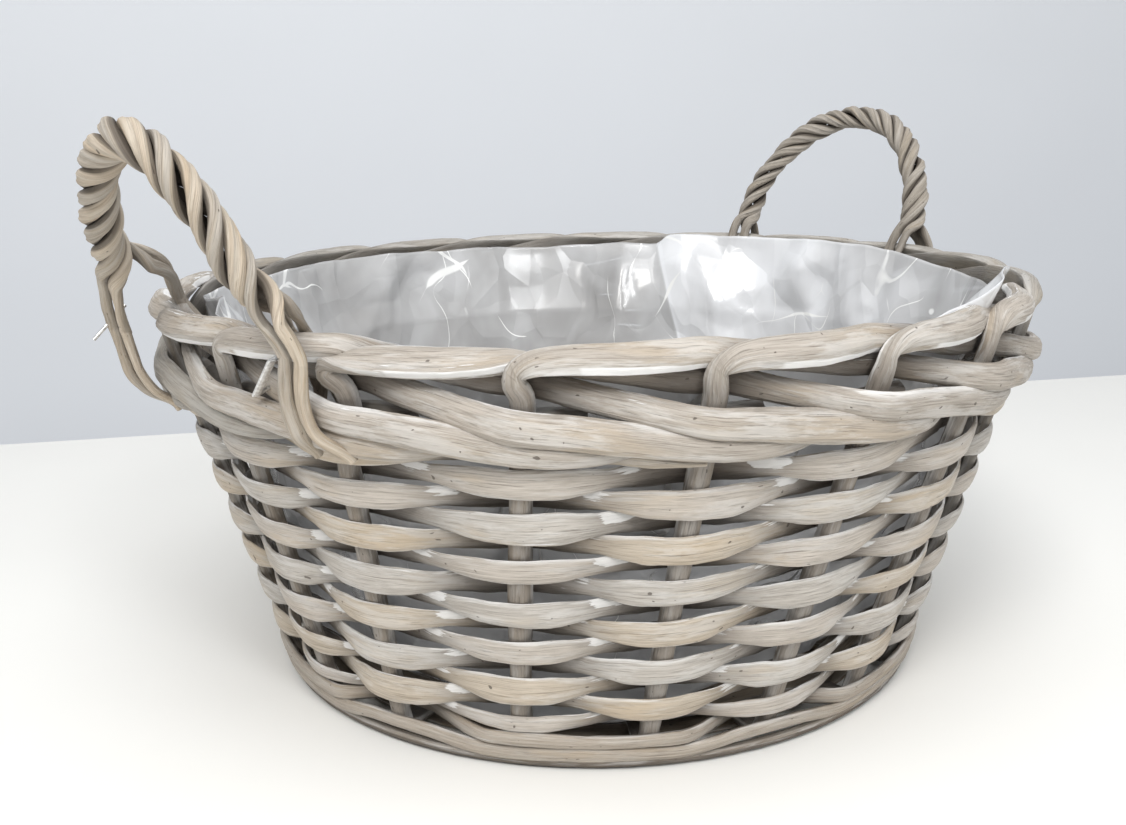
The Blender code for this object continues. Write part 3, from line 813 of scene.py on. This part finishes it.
for name, middle, bow in (("left", pi, left_bow), ("right", 0.0, right_bow)):
    for strand in range(4):
        seed = strand + (10 if name == "left" else 30)
        willow = ear_dull if name == "right" else ear_grey if strand % 2 else ear_cream
        rows = strand_rows(middle, strand, seed, bow)
        piece = willow_rod(f"ear_{name}_split_{strand + 1}", rows, willow, "ear_willow", Skin_Bulge=0.62,
                           Split_Bulge=0.36, Squareness=0.80, Roughness=0.0006, Width_Change=0.16,
                           Around=26, Seed=seed * 1.7, Groove=0.22, Step=0.0010)
        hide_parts(f"ear_{name}_strand_{strand + 1}")


# Film liner: a round cut of thin clear film pressed into the basket and left crumpled, with flat
# facets and sharp bright creases. It is double and milkier on one side, and its edge is turned up
# at the front.
film_thickness = 0.0003
film_standoff = lay_offset + stake_depth / 2 + strand_standoff + strand_room + 2 * gap
film_bottom = 0.01276
fold_turn = radians(32)
fold_lean = radians(30)
fold_width = radians(72)
fold_lift = 0.0035
flap_turn = radians(-73)
flap_lift = 0.0140
flap_push = 0.0120
hug = 0.0045
facet_sizes = ((15.0, 0.36, 0.0), (34.0, 0.26, 5.3))
fine_facets = (62.0, 0.13, 2.2)
crease_lines = ((11.0, 0.0026), (23.0, 0.0040))
clear_film = (0.60, 0.595, 0.59)
milky_film = (0.87, 0.88, 0.90)
# Crease colour: partly film whitened at its folds, partly a painted glint on the ridges.
crease_whitening_and_glint = (0.95, 0.95, 0.93)


def facet_height(spot, scale, slope, shift):
    """Height of flat facets: the difference of two squared cell distances, straight between creases."""
    squares = []
    for move in (shift, shift + 0.37):
        moved = vectors("ADD", spot, (move, move * 0.7, move * 1.3))
        far = given_by(spot.tree, "TexVoronoi", {"Vector": moved, "Scale": scale}, "Distance",
                       feature="F1")
        squares.append(far * far)
    return (squares[0] - squares[1]) * (slope / scale)


def warped(spot):
    """Places bent a little, so that creases are not ruler-straight, and drawn out up the wall."""
    bend = clouds(spot, 22.0, 1.0, output="Color")
    bend = vectors("SCALE", vectors("SUBTRACT", bend, (0.5, 0.5, 0.5)), 0.022)
    return vectors("MULTIPLY", vectors("ADD", spot, bend), (1.0, 1.0, 0.62))


def crumpled_film_tree():
    """Turns a profile into a round bag and breaks its wall into creased facets."""
    done, inlet, made = new_tree("crumpled_film", (
        ("Rings", "Int", 126),
        ("Around", "Int", 384),
        ("Crumple", "Float", 1.0),
        ("Sag", "Float", 0.0060),
        ("Held Back", "Float", 0.0020),
        ("Film", "Material", None),
    ))
    path = made("MeshToCurve", {"Mesh": inlet("Path")})
    rings, around = inlet("Rings"), inlet("Around")
    grid, row, column = numbered_grid(made, rings, around + 1.0)
    tree = grid.tree
    share = row / (rings - 1.0)
    share = share * (0.62 + share * 0.38)
    angle = column / around * (2 * pi)

    def swung(output):
        way = made("SampleCurve", {"Curves": path, "Factor": share}, output=output, mode="FACTOR",
                   use_all_curves=True)
        return given_by(tree, "VectorRotate", {"Vector": way, "Angle": angle},
                        rotation_type="Z_AXIS")

    place = swung("Position")
    sine = combine("SINE", angle)
    proud = vectors("CROSS_PRODUCT", swung("Tangent"), axes(sine * -1.0, combine("COSINE", angle), 0.0))
    bent = warped(place)
    crumple = sum(facet_height(bent, *facets) for facets in facet_sizes)
    held = (1.0 - between(share, 0.50, 0.60) * 0.9) * (0.45 + between(share, 0.0, 0.06) * 0.55)
    push = combine("SMOOTH_MIN", crumple * held * inlet("Crumple"), inlet("Held Back"), 0.0015)
    push = push + between(abs(sine), 0.38, 0.54) * fading(share, 0.08, 0.34) * hug
    at_flap = flap_turn + 2 * pi
    flap = between(angle, at_flap - 0.40, at_flap - 0.14) * fading(angle, at_flap + 0.03, at_flap + 0.16)
    flap = flap * fading(share, 0.0, 0.12)
    push = push + flap * flap_push
    place = vectors("ADD", place, vectors("SCALE", proud, push))
    sag = (clouds(bent, 24.0) - 0.5) * inlet("Sag") * fading(share, 0.0, 0.10)
    since_fold = combine("WRAP", fold_turn - angle, 2 * pi, 0.0)
    doubled = between(since_fold, 0.0, 0.05) * fading(since_fold, fold_width * 0.6, fold_width)
    lift = sag + doubled * fading(share, 0.0, 0.25) * fold_lift + flap * flap_lift
    place = vectors("ADD", place, axes(0.0, 0.0, lift))
    film = made("SetPosition", {"Geometry": grid, "Position": place})
    film = made("StoreNamedAttribute", {"Geometry": film, "Name": "down_share", "Value": share},
                data_type="FLOAT", domain="POINT")
    film = made("MergeByDistance", {"Geometry": film, "Distance": 0.00001})
    film = made("SetShadeSmooth", {"Geometry": film, "Shade Smooth": True})
    return dressed(film, inlet("Film"), done)


def liner_film():
    """Clear film: thin milky clouds, bright creases, a double part and the turned-up corner."""
    material, tree, shader = new_material("liner_film")
    place = given_by(tree, "TexCoord", (), "Object")
    bent = warped(place)
    lines = []
    # Crease lines are drawn whiter and more opaque: partly whitened film, partly a painted glint.
    for scale, width in crease_lines:
        reach = between(clouds(bent, scale * 2.3), 0.48, 0.66) * width
        field = clouds(bent, scale, 1.0, distortion=0.3)
        lines.append(between(reach - abs(field - 0.5), 0.0, width * 0.6))
    cells = given_by(tree, "TexVoronoi", {"Vector": bent, "Scale": 27.0}, "Distance",
                     feature="DISTANCE_TO_EDGE")
    reach = between(clouds(bent, 30.0), 0.54, 0.68) * 0.024
    lines.append(between(reach - cells, 0.0, 0.014))
    creases = highest(*lines)
    along, aside = (given_by(tree, "SeparateXYZ", {"Vector": place}, axis) for axis in "XY")
    turn = combine("ARCTAN2", aside, along)
    down = given_by(tree, "Attribute", (), "Fac", attribute_name="down_share")
    behind = fold_turn - turn - down * fold_lean
    folded = between(behind, 0.0, 0.006) * fading(behind, fold_width * 0.5, fold_width)
    fold_line = fading(abs(behind - 0.006), 0.003, 0.012)
    flap = between(turn, flap_turn - 0.44, flap_turn - 0.30)
    flap = flap * fading(turn, flap_turn + 0.10, flap_turn + 0.18) * fading(down, 0.02, 0.10)
    cloud = between(clouds(bent, 30.0, 3.0), 0.36, 0.70)
    milk = cloud * 0.34 + folded * 0.52 + fold_line * 0.3 + flap * 0.65
    alpha = 0.52 + (milk * 0.60 + creases * 0.4)
    colour = mixed(creases, mixed(milk, clear_film, milky_film), crease_whitening_and_glint)
    fill(shader, {"Base Color": colour, "Normal": bumped(facet_height(bent, *fine_facets), 0.8, 1.0),
                  "Alpha": given_by(tree, "Clamp", {"Value": alpha, "Max": 0.95}), "Roughness": 0.27,
                  "Specular IOR Level": 0.9, "Coat Weight": 0.45, "Coat Roughness": 0.08})
    return material


crest_drop = 0.0070
film_clear = 0.0020
low_in = foot_out + foot_rod_depth / 2 + 3 * gap
weave_in = stake_depth / 2 + strip_depth + 2 * gap
slack = 0.0035
low = round_point(0.0, depth_at(film_bottom), -low_in)
film_in = film_standoff + film_clear
profile = [round_point(0.0, crest_drop, -film_in), round_point(0.0, 0.040, -film_in),
           round_point(0.0, 0.062, -weave_in - slack), Vector((low.x - slack / 2, 0.0, film_bottom)),
           Vector((gap, 0.0, film_bottom))]
line = bpy.data.meshes.new("film_line")
line.from_pydata(profile, [(i, i + 1) for i in range(len(profile) - 1)], [])
liner = made_piece("crumpled_film_liner", line, crumpled_film_tree(), {"Film": liner_film()})
wall = liner.modifiers.new("film", "SOLIDIFY")
wall.thickness = film_thickness
wall.offset = 0.0
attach(liner, "root")
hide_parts("film_liner")


# Base: three sticks under two, opened out like spokes, with narrow strips woven round them and a
# pair of flat bindings that hold the stakes' legs. It is plain unwashed willow.
stick_width = 0.0059
stick_depth = stick_width * stake_depth / stake_width
stick_height = foot_rod_depth + gap + stick_depth / 2
stick_end = foot_radius + leg_height * tan(wall_slant) - leg_length - 0.0015
base_round_count = 6
base_round_depth = 0.0020
base_round_gap = 0.0022
base_middle_radius = 0.0304
binding_width = 0.0120
spoke = pi / 5
base_willow = washed_willow("base_willow", (0.50, 0.42, 0.32), (0.30, 0.235, 0.17),
                            (0.05, 0.038, 0.028), -0.06, (0.50, 0.44, 0.36), gap_shade=0.5)


def divided(points, shares):
    """Corners of a line, with more points at these shares of the way from each to the next."""
    spots = [Vector(first).lerp(Vector(second), share)
             for first, second in zip(points, points[1:]) for share in shares]
    return spots + [Vector(points[-1])]


def base_stick_rows(number):
    """Rows of one base stick: the first three lie level, the last two step over them."""
    row = stick_width + 7 * gap
    if number == 1:
        points = [(-stick_end, 0, 0), (0, 0, 0), (stick_end, 0, 0)]
    elif number < 4:
        side = 1 if number == 2 else -1
        bend = row / tan(spoke)
        reach = (stick_end * cos(spoke), side * stick_end * sin(spoke), 0)
        points = [(-reach[0], reach[1], 0), (-bend, side * row, 0), (bend, side * row, 0), reach]
    else:
        side = 1 if number == 4 else -1
        top_row = row + stick_width / 2 + stick_depth
        drop = top_row + 2 * stick_depth
        column = side * drop * tan(spoke / 2)
        lean = (side * stick_end * sin(spoke / 2), stick_end * cos(spoke / 2))
        over = stick_depth + gap
        points = [(lean[0], -lean[1], 0), (column, -drop, 0), (column, -top_row, over),
                  (column, top_row, over), (column, drop, 0), (lean[0], lean[1], 0)]
    spots = divided(points, (0.0, 0.25, 0.5, 0.75))
    # A light fixed painted shade on the sticks.
    return [(spot + Vector((0, 0, stick_height)), downward,
             stick_width * (1 + drift(number, k * 0.4, 0.1)), stick_depth, 0.0, 0.1, 0.0)
            for k, spot in enumerate(spots)]


for number in range(1, 6):
    stick = willow_rod(f"base_spoke_{number}", base_stick_rows(number), base_willow, "base_willow",
                       Skin_Bulge=0.55, Split_Bulge=0.45, Around=14, Seed=number * 4.1, Roughness=0.0004)
    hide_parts(f"base_stick_{number}")

base_wave = (stick_depth + base_round_depth) / 2 + gap
binding_radius = stick_end + binding_width / 4
room = binding_radius - binding_width / 2 - 0.0004 - base_middle_radius
round_step = (room + base_round_gap) / base_round_count
for number in range(base_round_count):
    radius = base_middle_radius + (round_step - base_round_gap) / 2 + number * round_step
    rows = []
    for step in range(80):
        turn = 2 * pi * step / 80
        sway = cos(pi * (turn / spoke + number))
        high = base_wave * copysign(min(abs(sway) * 1.6, 1.0), sway)
        # Painted shade on the rings, which changes as they pass over and under the sticks.
        rows.append((polar_point(turn, radius, stick_height + high), downward,
                     round_step - base_round_gap, base_round_depth, 0.0, 0.25 + 0.15 * sway, 0.0))
    ring = willow_rod(f"base_weave_{number + 1}", rows, base_willow, "base_willow", closed=True,
                      Seed=number * 6.7 + 2)
    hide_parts(f"base_round_{number + 1}")
leg_gap = stake_depth / 2 + base_round_depth / 2 + gap
for label, high in (("under", leg_height - leg_gap), ("over", leg_height + leg_gap)):
    # A light fixed painted shade on the bindings.
    rows = [(polar_point(2 * pi * step / 76, binding_radius, high), downward,
             binding_width, base_round_depth, 0.0, 0.2, 0.0) for step in range(76)]
    ring = willow_rod(f"base_ring_{label}", rows, base_willow, "base_willow", closed=True,
                      Around=14, Seed=high * 900)
    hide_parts(f"base_binding_{label}")


# Fixings: bright steel. A staple holds one foot of each ear to the top rod, and a thin tack
# stands out of the other foot.
wire_diameter = 0.0012
staple_leg = 0.0060
staple_width = 0.0024
tack_side = 0.0470
tack_ends = {"left": ((-0.0055, 0.0105), (0.0015, 0.0237)), "right": ((0.0147, 0.0084), (0.0207, 0.0224))}


def bright_steel():
    material, tree, shader = new_material("fixing_wire")
    scratch = clouds(given_by(tree, "TexCoord", (), "Object"), 900.0, 4.0)
    colour = mixed(between(scratch, 0.35, 0.7), (0.62, 0.61, 0.60), (0.88, 0.88, 0.87))
    shade = given_by(tree, "MapRange", {"Value": scratch, "To Min": 0.22, "To Max": 0.5})
    fill(shader, {"Base Color": colour, "Roughness": shade, "Metallic": 1.0,
                  "Normal": bumped(scratch, 0.15, 0.0001)})
    return material


def wire_rows(points, width, depth):
    """Rows of a wire: its corners stay tight because each has a point close on either side."""
    return [(spot, Vector((0.12, 0.2, 1)), width, depth, 0.0, 0.0, 0.0)
            for spot in divided(points, (0.0, 0.12, 0.5, 0.88))]


steel = bright_steel()
wire_sizes = {"Split_Bulge": 0.5, "Roughness": 0.0, "Width_Change": 0.0}
staple_head = lay_offset + stake_depth / 2 + gap
staple_ends = ((0.65, 0.0025), (0.46, 0.0145))
for label, middle, beside in (("left", pi, 11), ("right", 0.0, 2)):
    tips, bends = ([wall_point(beside + share, down, out) for share, down in staple_ends]
                   for out in (staple_head - staple_leg, staple_head))
    staple = willow_rod(f"wire_staple_{label}",
                        wire_rows([tips[0], *bends, tips[1]], staple_width, wire_diameter), steel,
                        "fixing_wire", Squareness=0.5, Step=0.0003, **wire_sizes)
    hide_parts(f"staple_{label}")
    turn = middle - tack_side / rim_radius
    ends = [round_point(turn, down, out) for down, out in tack_ends[label]]
    tack = willow_rod(f"wire_tack_{label}", wire_rows(ends, wire_diameter, wire_diameter), steel,
                      "fixing_wire", Squareness=1.0, Step=0.0005, **wire_sizes)
    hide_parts(f"tack_{label}")


# Floor and backdrop: a cream table top that ends behind the basket, and a pale wall beyond it.
# The wall is painted darker low down, as painted shade.
table_edge = (Vector((-0.075, 0.468, 0)), Vector((0.599, 0.031, 0)))
table_reach = 3.0
wall_behind = 0.9
wall_low = -0.8
wall_high = 2.2


def plain_paint(name, low_colour, high_colour, low_height, high_height):
    paint, tree, shader = new_material(name)
    place = given_by(tree, "TexCoord", (), "Object")
    height = given_by(tree, "SeparateXYZ", {"Vector": place}, "Z")
    # Colour ramp by height: on the wall it is painted shade low down; the table keeps one colour.
    colour = mixed(between(height, low_height, high_height), low_colour, high_colour)
    colour = mixed(clouds(place, 6.0) * 0.06, colour, (0.5, 0.5, 0.5))
    fill(shader, {"Base Color": colour, "Roughness": 0.85, "Specular IOR Level": 0.15})
    return paint


def staged_sheet(name, corners, paint):
    mesh = bpy.data.meshes.new(name)
    mesh.from_pydata(corners, [], [tuple(range(len(corners)))])
    mesh.materials.append(paint)
    new_object(name, mesh)


edge_way = (table_edge[1] - table_edge[0]).normalized()
edge_back = Vector((0, 0, 1)).cross(edge_way)
far_left = table_edge[0] - edge_way * table_reach
far_right = table_edge[0] + edge_way * table_reach
cream = (0.87, 0.862, 0.832)
staged_sheet("table_top", [far_left - edge_back * table_reach, far_right - edge_back * table_reach,
                           far_right, far_left], plain_paint("table_paint", cream, cream, 0, 1))
foot_left, foot_right = far_left + edge_back * wall_behind, far_right + edge_back * wall_behind
staged_sheet("wall_behind", [foot_left + Vector((0, 0, wall_low)), foot_right + Vector((0, 0, wall_low)),
                             foot_right + Vector((0, 0, wall_high)), foot_left + Vector((0, 0, wall_high))],
             plain_paint("wall_paint", (0.76, 0.78, 0.82), (0.94, 0.96, 0.99), -0.50, -0.12))


# Light: a compact window lamp in front on the left, a smaller one on the right and a wide one
# above, with an even sky all round.
for name, place, size, power, colour in (
        ("window_light", (-1.25, -0.70, 1.40), 0.55, 14.0, (1.0, 0.985, 0.96)),
        ("room_light", (-0.45, -1.35, 1.05), 0.35, 7.0, (0.97, 0.985, 1.0)),
        ("top_light", (-0.36, -0.46, 1.25), 1.0, 9.5, (1.0, 1.0, 1.0))):
    lamp = bpy.data.lights.new(name, "AREA")
    lamp.size = size
    lamp.energy = power
    lamp.color = colour
    stand = new_object(name, lamp)
    stand.location = place
    stand.rotation_mode = "QUATERNION"
    stand.rotation_quaternion = (-Vector(place)).to_track_quat("-Z", "Y")

world = bpy.data.worlds.new("room")
bpy.context.scene.world = world
world.use_nodes = True
fill(world.node_tree.nodes["Background"], {"Color": (0.86, 0.89, 0.93, 1.0), "Strength": 0.46})

bpy.context.scene.view_settings.view_transform = "Standard"
